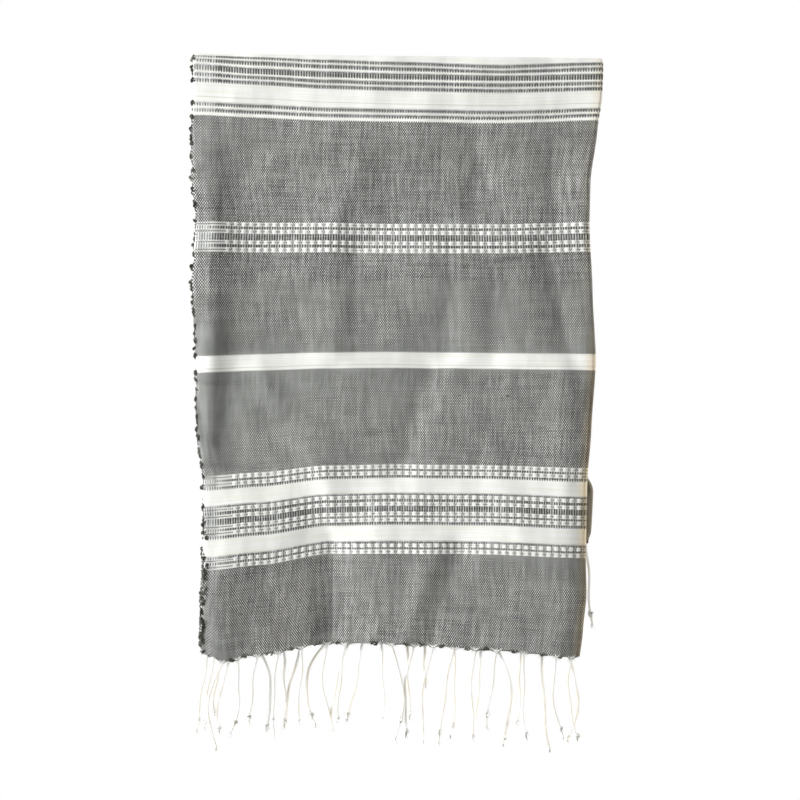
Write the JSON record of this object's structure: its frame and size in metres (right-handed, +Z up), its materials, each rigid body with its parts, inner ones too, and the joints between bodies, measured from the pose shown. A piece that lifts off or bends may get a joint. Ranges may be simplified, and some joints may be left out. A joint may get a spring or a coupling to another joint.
{
  "type": "hanging folded hand towel with fringed ends",
  "caption": "Handwoven cotton hand towel, folded lengthwise and hung over a bar, with cross stripes and knotted fringe.",
  "frame": {"origin": "axis of the bar that the towel hangs over, at mid-width", "axes": "+X along the bar towards the lengthwise fold, +Y from the long front panel to the short back panel, +Z up"},
  "size_m": [0.2556, 0.0377, 0.4334],
  "materials": {
    "woven_cotton": "matt plain weave, cream warp and charcoal weft, cream and charcoal cross stripes",
    "fringe_cotton": "matt undyed cotton, twisted in two plies and knotted"
  },
  "bodies": {
    "root": {"towel_cloth": "woven_cotton", "fringe_front": "fringe_cotton", "fringe_back": "fringe_cotton"}
  },
  "joints": []
}
